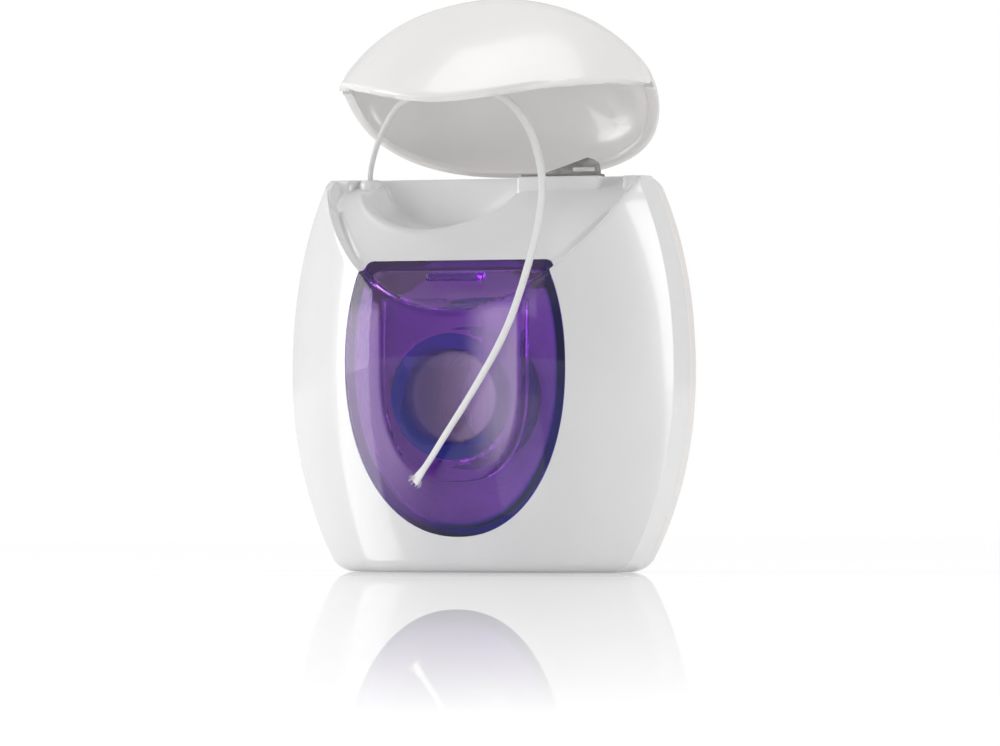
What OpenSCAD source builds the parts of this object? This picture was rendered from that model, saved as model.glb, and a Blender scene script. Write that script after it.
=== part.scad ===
/* [Body] */
// Width of the body at its widest height
body_w = 46; // [43:0.5:50]
// Height at which the body is widest
widest_z = 22.2; // [21:0.1:23.4]
// Height of the flat top of the body
body_h = 44.4; // [43.4:0.2:45.4]
// Lower reach of the outline's curve below its widest height
low_reach = 33.4; // [31:0.2:37]
// Upper reach of the outline's curve above its widest height
up_reach = 35; // [34:0.2:37]
// Depth of the front dome ahead of the shoulder crease
bulge = 10.6; // [9.5:0.1:12]
// Depth of the side band behind the shoulder crease, up to the seam of the back cover
band_d = 5.5; // [5.3:0.1:6.2]
// Wall of the moulded shells
wall = 1.3; // [1:0.1:1.6]
// Depth of the back cover's own side band
cover_band = 2; // [1.5:0.1:3]
// Swell of the back cover at its middle
back_swell = 7.4; // [7:0.1:8.4]

/* [Top panel] */
// Height of the front lip where the lid lands
lip_z = 29.2; // [28.4:0.1:30.2]
// Width of the ledge that the lid's rim lands on
ledge = 1.5; // [1.3:0.1:2]
// Drop of the flat part of the panel below the top
panel_drop = 1.6; // [1.3:0.1:1.8]
// Radius of the finger scoop
scoop_r = 12.2; // [11.4:0.1:12.6]
// Height of the scoop's centre
scoop_z = 50.5; // [50.1:0.1:51.5]
// Sideways place of the scoop's centre
scoop_x = -5.2; // [-6:0.1:-4.5]
// Diameter of the floss exit hole
exit_d = 1.4; // [1.3:0.1:2]
// Wall of the raised lip round the exit hole
exit_lip = 0.8; // [0.5:0.1:1]
// Width of the block under the cutter
block_w = 9.8; // [9.6:0.1:10.2]
// Depth of the block under the cutter
block_d = 3.2; // [3:0.1:3.5]
// Height of the block above the panel's flat
block_h = 1.6; // [1.3:0.1:1.8]

/* [Window] */
// Width of the purple window
window_w = 26.3; // [24:0.1:27]
// Half height of the window's outline
window_r = 19.2; // [18:0.1:19.4]
// Height of the window's top edge
window_top = 34.8; // [34:0.1:35.4]
// Thickness of the window
window_t = 1.2; // [1:0.1:1.3]
// Depth of the window's skirt behind its widest edge
skirt_d = 3.6; // [2.5:0.1:4]
// Gap round the window in the housing
seam = 0.06; // [0.04:0.01:0.1]
// Width of the catch bar for the lid
catch_w = 6.2; // [5:0.1:8]

/* [Spool] */
// Height of the spool's axis
spool_z = 19.6; // [19.2:0.1:20]
// Outer diameter of the spindle tube
spindle_d = 14; // [13:0.1:14.6]
// Bore of the spindle tube
spindle_bore = 10.6; // [10:0.1:11]
// Running clearance of the spool on the spindle, on the radius
run_fit = 0.06; // [0.03:0.01:0.09]
// Wall of the spool's core
core_t = 1.1; // [0.9:0.1:1.4]
// Diameter of the spool's flanges
flange_d = 29.4; // [28.6:0.1:29.8]
// Thickness of each flange
flange_t = 0.8; // [0.7:0.1:1]
// Width between the flanges
spool_w = 10; // [8:0.1:10.1]
// Diameter of the wound floss under its outer layer
pack_d = 24; // [22:0.2:24.6]

/* [Floss] */
// Diameter of the floss
floss_d = 0.9; // [0.8:0.05:0.95]
// Turns in the outer layer
turns = 5; // [3:1:5]

/* [Cutter] */
// Thickness of the steel
steel_t = 0.3; // [0.2:0.05:0.4]
// Width of the cutter's base plate
plate_w = 9.1; // [8.8:0.1:9.4]
// Depth of the cutter's base plate
plate_d = 2.6; // [2.4:0.1:3]
// Height of the raised tab
tab_h = 1.9; // [1.5:0.1:2.1]

/* [Lid] */
// Thickness of the lid
lid_t = 1.1; // [1:0.1:1.3]
// Gap between the closed lid and the body
lid_gap = 0.3; // [0.25:0.01:0.35]
// Depth from the shoulder crease to the hinge line
hinge_y = 14.2; // [13.6:0.1:14.3]
// How far the lid stands open in this model
open_angle = 47.5; // [0:0.5:80]
// Width of the hinge web
web_w = 10.4; // [8:0.1:12]

/* [Hidden] */
half_w = body_w / 2;
flange_r = flange_d / 2;
spindle_r = spindle_d / 2;
pack_r = pack_d / 2;
floss_r = floss_d / 2;
exit_r = exit_d / 2;
// Height of the dome's deepest point, and how far its foot draws back
dome_z = 25;
foot_back = 4.9;
// Power of the dome's curve from its middle line to the crease
dome_pow = 2.7;
// Power of the outline's upper curve
up_pow = 2.15;
// The front's middle line and the crease lean towards this point, the crease from shoulder_z up
aim_z = widest_z + up_reach;
aim_y = -5.5;
aim_pow = 2.2;
shoulder_z = 43;
// Parting line of the lid, seen from the side
part_flat_y = 1.5;
part_pow = 1.3;
// The panel inside the ledge, seen from the side
panel_flat_y = 1.2;
panel_z = body_h - panel_drop;
panel_pow = 1.3;
panel_in = 0.3;
// The ends of the recess rise over this length
recess_run = 1.6;
recess_rim = 1;
// Share of an inset that the crease draws back
crease_share = 0.4;

function clamp01(v) = max(0, min(1, v));
function outline_w(z, d) = z < widest_z
    ? (half_w - d) * sqrt(clamp01(1 - pow((widest_z - z) / (low_reach - d), 2)))
    : (half_w - d) * pow(clamp01(1 - pow((z - widest_z) / (up_reach - d), up_pow)), 1 / up_pow);
function outline_top(x, d) =
    widest_z + (up_reach - d) * pow(clamp01(1 - pow(abs(x) / (half_w - d), up_pow)), 1 / up_pow);
function outline_low(x, d) =
    max(d, widest_z - (low_reach - d) * sqrt(clamp01(1 - pow(x / (half_w - d), 2))));
function crease_y(z) = z < shoulder_z ? 0 : aim_y * (z - shoulder_z) / (aim_z - shoulder_z);
function front_mid(z) = z < dome_z
    ? -bulge + foot_back * pow((dome_z - z) / dome_z, 2)
    : -bulge + (bulge + aim_y) * pow((z - dome_z) / (aim_z - dome_z), aim_pow);
// Depth of the front surface, or of a copy that lies d inside it
function front_y(x, z, d) =
    let (f = front_mid(z) + d, c = crease_y(z) + crease_share * d, w = outline_w(z, d))
    f + (c - f) * pow(w > 0.01 ? min(1, abs(x) / w) : 1, dome_pow);
function bend(v, p) = pow(clamp01(1 - pow(clamp01(v), p)), 1 / p);
lip_y = front_mid(lip_z);
function part_z(y) =
    lip_z + (body_h - lip_z) * bend((part_flat_y - y) / (part_flat_y - lip_y), part_pow);
panel_y0 = lip_y + ledge - panel_in;
function panel_at(y) =
    lip_z + (panel_z - lip_z) * bend((panel_flat_y - y) / (panel_flat_y - panel_y0), panel_pow);
function panel_back(z) =
    panel_flat_y - (panel_flat_y - panel_y0) * bend((z - lip_z) / (panel_z - lip_z), panel_pow);
// Height at which the surface d inside the front meets a ceiling, found by halving
function meet(x, d, ceiling, lo, hi, n) = n == 0 ? (lo + hi) / 2
    : let (m = (lo + hi) / 2) m < ceiling(front_y(x, m, d))
    ? meet(x, d, ceiling, m, hi, n - 1) : meet(x, d, ceiling, lo, m, n - 1);
halvings = 16;
function body_rim(x) =
    meet(x, 0, function(y) part_z(y), lip_z, outline_top(x, 0), halvings);
tip_x = outline_w(part_z(0), 0);
tip_in = tip_x - ledge;
// The back edge of the lid in plan
arc_pow = 2.6;
function arc_y(x, d) = (hinge_y - d) * bend(abs(x) / (tip_x - d), arc_pow);

// Slices across the body, closer together where its side turns
function spread(reach, n) = [for (i = [-n:n]) reach * sin(90 * i / n)];
mid_slices = 9;
side_slices = 6;
edge = 0.998;
function side_xs(reach) = let (a = asin(tip_in / reach))
    [for (i = [1:side_slices]) reach * edge * sin(a + (90 - a) * i / side_slices)];
function across(reach) = let (s = side_xs(reach))
    concat([for (i = [len(s) - 1:-1:0]) -s[i]], spread(tip_in, mid_slices), s);

module loft(rings) {
    n = len(rings[0]);
    m = len(rings);
    side = [for (i = [0:m - 2], j = [0:n - 1]) let (k = (j + 1) % n) each [
        [i * n + j, i * n + k, (i + 1) * n + j],
        [i * n + k, (i + 1) * n + k, (i + 1) * n + j]]];
    first = [for (j = [n - 1:-1:0]) j];
    last = [for (j = [0:n - 1]) (m - 1) * n + j];
    polyhedron([for (r = rings) each r], concat(side, [first, last]));
}

front_steps = 9;
panel_steps = 8;
step_y = 0.05;
function body_ring(x) =
    let (low = outline_low(x, 0), top = outline_top(x, 0), zt = body_rim(x),
        inner = abs(x) < tip_in,
        y1 = inner ? front_y(x, zt, ledge) : crease_share * ledge,
        y2 = max(y1 + 0.5, inner ? min(band_d - recess_rim, arc_y(x, ledge)) : 0),
        e = clamp01((tip_in - abs(x)) / recess_run))
    concat(
        [for (i = [0:front_steps]) let (z = low + (zt - low) * i / front_steps)
            [x, front_y(x, z, 0), z]],
        [[x, y1, zt]],
        [for (i = [0:panel_steps]) let (y = y1 + step_y + (y2 - y1 - 2 * step_y) * i / panel_steps)
            [x, y, e * panel_at(y) + (1 - e) * min(top, part_z(y))]],
        [[x, y2, min(top, part_z(y2))], [x, band_d, min(top, part_z(band_d))], [x, band_d, low]]);
module body_solid() {
    loft([for (x = across(half_w)) body_ring(x)]);
}

hollow_steps = 7;
ceiling_steps = 5;
function hollow_ring(x, d, back) =
    let (low = outline_low(x, d), top = outline_top(x, d),
        zt = meet(x, d, function(y) panel_at(y) - d, low + 1, top, halvings),
        yt = front_y(x, zt, d))
    concat(
        [for (i = [0:hollow_steps]) let (z = low + (zt - low) * i / hollow_steps)
            [x, front_y(x, z, d), z]],
        [for (i = [1:ceiling_steps]) let (y = yt + (back - yt) * i / ceiling_steps)
            [x, y, max(zt, min(top, panel_at(y) - d))]],
        [[x, back, low]]);
module hollow(d, back) {
    loft([for (x = across(half_w - d)) hollow_ring(x, d, back)]);
}

// A disc or tube along Y, from y0 to y1
module along_y(y0, y1, r) {
    translate([0, y0, 0]) rotate([-90, 0, 0]) cylinder(h = y1 - y0, r = r, $fn = 96);
}
// An upright outline in X and Z, drawn out along Y from y0 to y1
module prism_y(y0, y1) {
    translate([0, y1, 0]) rotate([90, 0, 0]) linear_extrude(y1 - y0) children();
}

window_z = widest_z + 1;
window_pow = 2.15;
window_steps = 20;
corner = 1;
// The window's outline: a superellipse, cut level at its top
function window_w_at(z, d) =
    (window_w / 2 - d) * bend(abs(z - window_z) / (window_r - d), window_pow);
function window_side(d) = let (a0 = asin((window_top - d - corner - window_z) / (window_r - d)))
    [for (i = [0:window_steps]) let (z = window_z + (window_r - d) * sin(a0 - (a0 + 90) * i / window_steps))
        [window_w_at(z, d), z]];
function window_outline(d) = let (s = window_side(d), n = len(s))
    concat([[s[0][0] - corner, window_top - d]], s,
        [for (i = [n - 2:-1:0]) [-s[i][0], s[i][1]]], [[corner - s[0][0], window_top - d]]);
window_edge_y = front_y(window_w / 2, window_z, 0);
window_back = window_edge_y + skirt_d;
window_front = -bulge - 2;

spool_front = -1.6;
spool_back = spool_front + 2 * flange_t + spool_w;
end_play = 0.2;
spindle_end = spool_back - end_play;
collar_rim = 0.9;
collar_r = spindle_r + collar_rim;
collar_t = 1;

scoop_y = -1;
scoop_back = 2.4;
exit_x = -14.6;
exit_y = 3;
exit_top = body_h;
exit_root = panel_z - wall;
block_x = 3.5;
block_y = 2.2;
block_root = 1.2;
block_top = panel_z + block_h;
peg_w = 0.4;
peg_d = 1.2;
peg_h = 1.2;
peg_gap = 0.05;
plate_x = block_x + (block_w - plate_w) / 2;
plate_y = block_y + (block_d - plate_d) / 2;
peg_xs = [plate_x + 1, plate_x + plate_w - 1];
peg_y = plate_y + (plate_d - peg_d) / 2;

module scoop(d) {
    intersection() {
        translate([scoop_x, scoop_y, scoop_z]) sphere(r = scoop_r + d, $fn = 64);
        translate([-half_w, -bulge, panel_z - bulge]) cube([body_w, bulge + scoop_back + d, 2 * bulge]);
    }
}
module housing() {
    color("whitesmoke") difference() {
        union() {
            difference() {
                body_solid();
                difference() {
                    hollow(wall, band_d + 1);
                    scoop(wall);
                }
                scoop(0);
            }
            translate([exit_x, exit_y, exit_root])
                cylinder(h = exit_top - exit_root, r = exit_r + exit_lip, $fn = 48);
            translate([block_x, block_y, panel_z - block_root])
                cube([block_w, block_d, block_root + block_h]);
        }
        prism_y(window_front, window_back) polygon(window_outline(0));
        translate([exit_x, exit_y, exit_root - 1])
            cylinder(h = exit_top - exit_root + 2, r = exit_r, $fn = 48);
        for (x = peg_xs)
            translate([x - peg_w / 2 - peg_gap, peg_y - peg_gap, block_top - peg_h - peg_gap])
                cube([peg_w + 2 * peg_gap, peg_d + 2 * peg_gap, peg_h + 1]);
    }
}

cover_steps = 9;
swell_foot = 0.6;
function cover_y(x, z, d) =
    let (swell = back_swell * (1 - swell_foot * pow(clamp01((dome_z - z) / dome_z), 2)),
        w = outline_w(z, 0))
    band_d + cover_band + swell * (1 - pow(w > 0.01 ? min(1, abs(x) / w) : 1, dome_pow)) - d;
function cover_ring(x, d, front) =
    let (low = outline_low(x, d), top = min(outline_top(x, d), body_h - d))
    concat([[x, front, low], [x, front, top]],
        [for (i = [0:cover_steps]) let (z = top + (low - top) * i / cover_steps) [x, cover_y(x, z, d), z]]);
module cover_shape(d, front) {
    loft([for (x = across(half_w - d)) cover_ring(x, d, front)]);
}
lip_t = 0.8;
lip_fit = 0.08;
lip_d = 1.5;
lip_root = 0.6;
// The locating lip follows the inside of the housing and stays under its ceiling
function rear_outline(d) = let (xs = across(half_w - d), n = len(xs))
    concat([for (x = xs) [x, min(panel_z - d, outline_top(x, d))]],
        [for (i = [n - 1:-1:0]) [xs[i], outline_low(xs[i], d)]]);
module back_cover() {
    color("white") {
        difference() {
            union() {
                difference() {
                    cover_shape(0, band_d);
                    cover_shape(wall, band_d - 1);
                }
                prism_y(band_d - lip_d, band_d + lip_root) polygon(rear_outline(wall + lip_fit));
                prism_y(band_d, band_d + lip_root) polygon(rear_outline(wall / 2));
            }
            prism_y(band_d - lip_d - 1, band_d + lip_root + 1) polygon(rear_outline(wall + lip_fit + lip_t));
        }
        translate([0, 0, spool_z]) {
            along_y(spool_back - plug_d, cover_y(0, spool_z, wall) + 0.2, spindle_bore / 2 - lip_fit);
            along_y(spool_back + end_play, cover_y(0, spool_z, wall) + 0.2, collar_r);
        }
    }
}
plug_d = 2.4;

catch_h = 0.95;
catch_z = 32.9;
catch_gap = 0.22;
module window() {
    color([0.42, 0.2, 0.68, 0.7]) {
        difference() {
            intersection() {
                body_solid();
                prism_y(window_front, window_back) polygon(window_outline(seam));
            }
            intersection() {
                hollow(window_t, band_d);
                prism_y(window_front, window_back + 1) polygon(window_outline(seam + window_t));
            }
        }
        translate([0, 0, spool_z]) difference() {
            union() {
                along_y(front_mid(spool_z) + window_t - 0.3, spindle_end, spindle_r);
                along_y(spool_front - end_play - collar_t, spool_front - end_play, collar_r);
            }
            along_y(front_mid(spool_z) + window_t, spindle_end + 1, spindle_bore / 2);
        }
        translate([-catch_w / 2, front_y(0, catch_z, lid_t) + catch_gap, catch_z - catch_h / 2])
            cube([catch_w, panel_back(catch_z) - front_y(0, catch_z, lid_t), catch_h]);
    }
}

module spool_turned() {
    translate([0, spool_front, spool_z]) rotate([-90, 0, 0]) rotate_extrude($fn = 96) children();
}
bore_r = spindle_r + run_fit;
core_r = bore_r + core_t;
spool_len = 2 * flange_t + spool_w;
module bobbin() {
    color("lavender") spool_turned() polygon([
        [bore_r, 0], [flange_r, 0], [flange_r, flange_t], [core_r, flange_t],
        [core_r, flange_t + spool_w], [flange_r, flange_t + spool_w],
        [flange_r, spool_len], [bore_r, spool_len]]);
}
module floss_pack() {
    color("ghostwhite") spool_turned() translate([core_r, flange_t]) square([pack_r - core_r, spool_w]);
}

// A tube with its rings square to the path at each of its points
function unit(v) = v / norm(v);
function tube_ring(p, t, side, r, n) = let (u = unit(cross(t, side)), v = cross(t, u))
    [for (j = [0:n - 1]) p + r * (cos(360 * j / n) * u - sin(360 * j / n) * v)];
function heading(path, i) = unit(path[min(i + 1, len(path) - 1)] - path[max(i - 1, 0)]);
module tube(path, side, r, n) {
    loft([for (i = [0:len(path) - 1]) tube_ring(path[i], heading(path, i), side, r, n)]);
}

loop_rings = 24;
loop_sides = 6;
pack_gap = 0.05;
wind_r = (pack_r + floss_r + pack_gap) / cos(180 / loop_rings);
wind_y0 = spool_back - flange_t - floss_r - 0.1;
wind_y1 = spool_front + flange_t + floss_r + 0.4;
wind_pitch = (wind_y0 - wind_y1) / turns;
// Points of the turns, by the angle b back from where the floss leaves upwards at the left
function wind_point(b) =
    [wind_r * cos(180 + b), wind_y1 + wind_pitch * b / 360, spool_z + wind_r * sin(180 + b)];
wind_path = concat(
    [wind_point(360 * turns) - [0, 0, floss_d]],
    [for (i = [loop_rings * turns:-1:0]) wind_point(360 * i / loop_rings)],
    [wind_point(0) + [0, 0, floss_d]]);
wind_gap = min([for (i = [0:len(wind_path) - 1], j = [i + loop_rings / 2:len(wind_path) - 1])
    norm(wind_path[i] - wind_path[j])]) - floss_d;
echo("least gap of the winding to itself, mm", wind_gap);
module floss_winding() {
    color("white") tube(wind_path, [0, 1, 0], floss_r, loop_sides);
}

// A smooth path through hand-chosen points, with extra points between them
function curve_at(a, b, c, d, t) = 0.5 * (2 * b + (c - a) * t + (2 * a - 5 * b + 4 * c - d) * t * t
    + (3 * b - a - 3 * c + d) * t * t * t);
function smooth(p, k) = let (n = len(p) - 1) concat(
    [for (i = [0:n - 1], s = [0:k - 1])
        curve_at(p[max(i - 1, 0)], p[i], p[i + 1], p[min(i + 2, n)], s / k)], [p[n]]);
run_offset = 0.3;
run_x = -(wind_r + 2 * floss_r + run_offset);
cord_top = body_h - 0.6;
run_route = [[run_x, wind_y1, spool_z + 1], [run_x, 0.2, 24], [-14, 1, 31], [-14.3, 2.4, 37],
    [exit_x, exit_y, 41], [exit_x, exit_y, cord_top]];
tail_route = [[exit_x, exit_y, cord_top], [exit_x, exit_y, 45.4], [-13.6, 2.6, 48], [-11.7, 1.5, 50.7],
    [-9, 0, 52.8], [-4.2, -2, 54.6], [1.4, -3.8, 54.6], [5.6, -5.3, 53.1], [8.1, -6, 51], [9.4, -6.2, 46.9],
    [9.9, -6.6, 43.5], [10.2, -8.2, 39], [9.7, -10, 34], [8.3, -11, 29], [6.5, -11.5, 25.6],
    [4.4, -11.6, 22.4], [2, -11.6, 19.1], [-0.4, -11.5, 15.8], [-2.2, -11.3, 12.9], [-3.8, -11.1, 10]];
cord_sides = 8;
module floss_run() {
    color("white") tube(smooth(run_route, 2), [0, 1, 0], floss_r, cord_sides);
}
module floss_tail() {
    color("white") tube(smooth(tail_route, 2), [0, 1, 0], floss_r, cord_sides);
}

// The tab's corners and its slot, as shares of the plate's width and of the tab's height
tab_shape = [[0.22, 0], [0.22, 0.24], [0.78, 1], [0.93, 0.72], [0.95, 0.3], [0.95, 0]];
slot_x = 0.58;
slot_w = 0.3;
slot_z = 0.65;
slot_h = 0.45;
module cutter() {
    color("dimgray") difference() {
        union() {
            translate([plate_x, plate_y, block_top]) cube([plate_w, plate_d, steel_t]);
            for (x = peg_xs)
                translate([x - peg_w / 2, peg_y, block_top - peg_h])
                    cube([peg_w, peg_d, peg_h + steel_t / 2]);
            translate([plate_x, plate_y + plate_d, block_top]) rotate([90, 0, 0]) linear_extrude(steel_t)
                polygon([for (q = tab_shape) [q[0] * plate_w, q[1] * (steel_t + tab_h)]]);
        }
        translate([plate_x + slot_x * plate_w, plate_y + plate_d - 2 * steel_t, block_top + slot_z])
            cube([slot_w * plate_w, 3 * steel_t, slot_h]);
    }
}

hinge_z = body_h + lid_gap;
lid_slices = 10;
lid_front_steps = 8;
crown_steps = 8;
tip_share = 0.985;
sliver = 0.03;
// The crest of the lid, and the crease that runs over it from tip to tip
crest_z = body_h + 6.4;
crest_y = -7.1;
crest_pow = 1.38;
crest_plan = 3;
tip_y = -0.8;
tip_z = part_z(0) + lid_gap;
function lid_crease(s) = [tip_y + (crest_y - tip_y) * (1 - pow(abs(s), crest_plan)),
    tip_z + (crest_z - tip_z) * bend(abs(s), crest_pow)];
// The crown stands this share of its chord above it
crown = 0.28;
// The front starts out along the body's own slope, for this share of its height
front_lead = 0.35;
function quad_at(a, b, c, t) = (1 - t) * (1 - t) * a + 2 * t * (1 - t) * b + t * t * c;
function lid_rim(x) = lid_gap + body_rim(x);
// One slice of the lid's outside as [y, z], from the front rim over the crease to the back rim
function lid_profile(s) =
    let (x = tip_x * s, zr = lid_rim(x), a = [front_y(x, zr, 0), zr], g = lid_crease(s),
        c = [max(g[0], a[0] + sliver), max(g[1], zr + sliver)],
        slope = front_y(x, zr + 0.5, 0) - front_y(x, zr - 0.5, 0),
        k = a + front_lead * (c[1] - a[1]) * [slope, 1],
        yb = max(arc_y(x, 0), c[0] + 2 * sliver), b = [yb, part_z(yb) + lid_gap],
        v = b - c, up = crown * norm(v), nrm = [-v[1], v[0]] / norm(v))
    concat([for (i = [0:lid_front_steps]) quad_at(a, k, c, i / lid_front_steps)],
        [for (i = [1:crown_steps]) let (t = 180 * i / crown_steps)
            c + v * (1 - cos(t)) / 2 + nrm * up * sin(t)]);
// The same slice drawn in by d, its two rims level, and its inside not below them
function drawn_in(p, d) = let (n = len(p) - 1) [for (i = [0:n])
    let (t = unit(p[min(i + 1, n)] - p[max(i - 1, 0)]))
    i == 0 ? p[0] + [d, 0] : i == n ? p[n] - [d, 0]
    : [p[i][0] + d * t[1], max(p[i][1] - d * t[0], p[0][1])]];
function reversed(p) = [for (i = [len(p) - 1:-1:0]) p[i]];
thin_share = 0.06;
function placed(x, p) = [for (q = p) [x, q[0], q[1]]];
function lid_ring(s) = let (p = lid_profile(s), d = min(lid_t, thin_share * (p[len(p) - 1][0] - p[0][0])))
    concat(placed(tip_x * s, p), reversed(placed((tip_x - lid_t) * s, drawn_in(p, d))));
// A thin shell: each ring runs along its outside and back along its inside
module shell(rings) {
    n = len(rings[0]);
    m = len(rings);
    e = (m - 1) * n;
    faces = [for (i = [0:m - 2], j = [0:n - 1]) let (k = (j + 1) % n) each [
        [i * n + j, i * n + k, (i + 1) * n + j],
        [i * n + k, (i + 1) * n + k, (i + 1) * n + j]]];
    first = [for (j = [0:n / 2 - 2]) each [[j, n - 2 - j, j + 1], [j, n - 1 - j, n - 2 - j]]];
    last = [for (j = [0:n / 2 - 2]) each [
        [e + j, e + j + 1, e + n - 2 - j], [e + j, e + n - 2 - j, e + n - 1 - j]]];
    polyhedron([for (r = rings) each r], concat(faces, first, last));
}
module lid_closed() {
    shell([for (i = [-lid_slices:lid_slices]) lid_ring(sin(90 * tip_share * i / lid_slices))]);
}
module lid() {
    color("white") translate([0, hinge_y, hinge_z]) rotate([-open_angle, 0, 0])
        translate([0, -hinge_y, -hinge_z]) lid_closed();
}
web_front = 0.6;
web_back = 0.7;
web_clear = 0.04;
module living_hinge() {
    color("white") translate([-web_w / 2, 0, 0]) rotate([90, 0, 90]) linear_extrude(web_w)
        polygon([[hinge_y - web_front, body_h], [hinge_y + 0.25, body_h],
            [hinge_y + web_back, hinge_z - web_clear], [hinge_y - web_front, hinge_z - web_clear]]);
}

housing();
back_cover();
window();
cutter();
living_hinge();
lid();
bobbin();
floss_pack();
floss_winding();
floss_run();
floss_tail();
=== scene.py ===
import math

import bmesh
import bpy
from mathutils import Matrix, Vector


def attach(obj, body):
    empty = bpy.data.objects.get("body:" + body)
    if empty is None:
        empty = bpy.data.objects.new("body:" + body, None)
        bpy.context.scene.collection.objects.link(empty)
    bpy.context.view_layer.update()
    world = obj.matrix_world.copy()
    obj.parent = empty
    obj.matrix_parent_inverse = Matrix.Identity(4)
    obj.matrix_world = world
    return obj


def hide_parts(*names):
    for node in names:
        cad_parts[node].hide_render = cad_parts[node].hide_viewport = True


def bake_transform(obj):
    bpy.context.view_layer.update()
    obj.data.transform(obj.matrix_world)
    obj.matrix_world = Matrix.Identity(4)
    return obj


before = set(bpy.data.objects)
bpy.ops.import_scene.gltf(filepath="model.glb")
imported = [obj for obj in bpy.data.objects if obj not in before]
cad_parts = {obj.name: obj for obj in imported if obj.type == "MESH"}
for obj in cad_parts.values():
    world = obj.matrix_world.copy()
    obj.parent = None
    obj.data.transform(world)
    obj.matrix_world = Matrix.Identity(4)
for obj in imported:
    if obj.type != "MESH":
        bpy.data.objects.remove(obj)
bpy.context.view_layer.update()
mm = 0.001
floorDrop = 0.00003
spoolAxis = 19.6

# Camera: 0.7 m away, turned 21 degrees, a little above the table
camera = {
    "place": (0.25553, -0.65971, 0.0105),
    "aim": (0.004668, -0.006208, 0.02222),
    "lens": 226.8,
    "sensor": 36,
}


def aimed(place, aim):
    turn = (Vector(aim) - Vector(place)).to_track_quat("-Z", "Y")
    return turn.to_euler()


cameraData = bpy.data.cameras.new("camera")
cameraData.lens = camera["lens"]
cameraData.sensor_width = camera["sensor"]
cameraObject = bpy.data.objects.new("camera", cameraData)
cameraObject.location = camera["place"]
cameraObject.rotation_euler = aimed(camera["place"], camera["aim"])
bpy.context.scene.collection.objects.link(cameraObject)
bpy.context.scene.camera = cameraObject
bpy.context.scene.view_settings.view_transform = "Standard"
print("camera")


# Materials
class Field:
    def __init__(self, paint, socket):
        self.paint = paint
        self.socket = socket

    def maths(self, kind, *others):
        return self.paint.node("Math", {"operation": kind}, self, *others)

    def __add__(self, other):
        return self.maths("ADD", other)

    __radd__ = __add__

    def __sub__(self, other):
        return self.maths("SUBTRACT", other)

    def __rsub__(self, other):
        return self.paint.node("Math", {"operation": "SUBTRACT"}, other, self)

    def __mul__(self, other):
        return self.maths("MULTIPLY", other)

    def __truediv__(self, other):
        return self.maths("DIVIDE", other)

    def __pow__(self, other):
        return self.maths("POWER", other)

    def sine(self):
        return self.maths("SINE")

    def size(self):
        return self.maths("ABSOLUTE")

    def clamped(self):
        return self.paint.node("Clamp", {}, self)

    def ramp(self, low, high, start=0.0, end=1.0):
        kind = {"interpolation_type": "SMOOTHSTEP"}
        return self.paint.node("MapRange", kind, self, low, high, start, end)


class Paint:
    def __init__(self, name, **settings):
        self.material = bpy.data.materials.new(name)
        self.material.use_nodes = True
        self.tree = self.material.node_tree
        self.tree.nodes.clear()
        self.surface = self.raw("BsdfPrincipled")
        self.output = self.raw("OutputMaterial")
        self.tree.links.new(self.surface.outputs[0], self.output.inputs["Surface"])
        self.last = self.surface
        for key, value in settings.items():
            self.give(self.surface.inputs[key.replace("_", " ")], value)

    def raw(self, kind, settings=()):
        node = self.tree.nodes.new("ShaderNode" + kind)
        for key, value in dict(settings).items():
            setattr(node, key, value)
        return node

    def give(self, socket, value):
        if isinstance(value, Field):
            self.tree.links.new(value.socket, socket)
        else:
            socket.default_value = value

    def node(self, kind, settings, *values, out=0, **named):
        node = self.raw(kind, settings)
        for socket, value in zip(node.inputs, values):
            self.give(socket, value)
        for key, value in named.items():
            self.give(node.inputs[key.replace("_", " ")], value)
        return Field(self, node.outputs[out])

    def mix(self, share, low, high):
        node = self.raw("Mix", {"data_type": "RGBA"})
        for index, value in ((0, share), (6, low), (7, high)):
            self.give(node.inputs[index], value)
        return Field(self, node.outputs[2])

    def place(self, out="Object"):
        return Field(self, self.raw("TexCoord").outputs[out])

    def axis(self, index, out="Object"):
        parts = self.raw("SeparateXYZ")
        self.give(parts.inputs[0], self.place(out))
        return Field(self, parts.outputs[index])

    def stretched(self, scale):
        return self.node("VectorMath", {"operation": "MULTIPLY"}, self.place(), scale)

    def noise(self, scale, detail=3.0, rough=0.5, vector=None):
        where = vector or self.place()
        return self.node("TexNoise", {}, Vector=where, Scale=scale, Detail=detail, Roughness=rough)

    def bump(self, height, distance, strength=1.0):
        normal = self.node("Bump", {}, Strength=strength, Distance=distance, Height=height)
        self.give(self.surface.inputs["Normal"], normal)

    def under(self, kind, share, **settings):
        # Another shader, mixed by share over what is there
        extra = self.raw(kind)
        for key, value in settings.items():
            self.give(extra.inputs[key], value)
        blend = self.raw("MixShader")
        self.give(blend.inputs[0], share)
        self.tree.links.new(self.last.outputs[0], blend.inputs[1])
        self.tree.links.new(extra.outputs[0], blend.inputs[2])
        self.tree.links.new(blend.outputs[0], self.output.inputs["Surface"])
        self.last = blend

    def rays(self, out):
        return Field(self, self.raw("LightPath").outputs[out])

    def set(self, **values):
        for key, value in values.items():
            self.give(self.surface.inputs[key.replace("_", " ")], value)


def shellPaint(name, light, dark, rough):
    # Moulded white plastic: faint flow marks, a fine grain and slightly uneven gloss
    paint = Paint(name, IOR=1.5, Coat_Roughness=0.06)
    flow = paint.noise(38, 4, 0.55, paint.stretched((1.0, 1.0, 0.35)))
    cloud = paint.noise(110, 5, 0.6)
    share = (flow * 0.6 + cloud * 0.4).ramp(0.3, 0.7)
    paint.set(
        Base_Color=paint.mix(share, dark, light),
        Roughness=rough + cloud * 0.07,
        Coat_Weight=0.35 + flow * 0.2,
    )
    grain = paint.noise(5200, 2, 0.5) * 0.35 + flow * 0.65
    paint.bump(grain, 0.00003, 0.5)
    return paint.material


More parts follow.
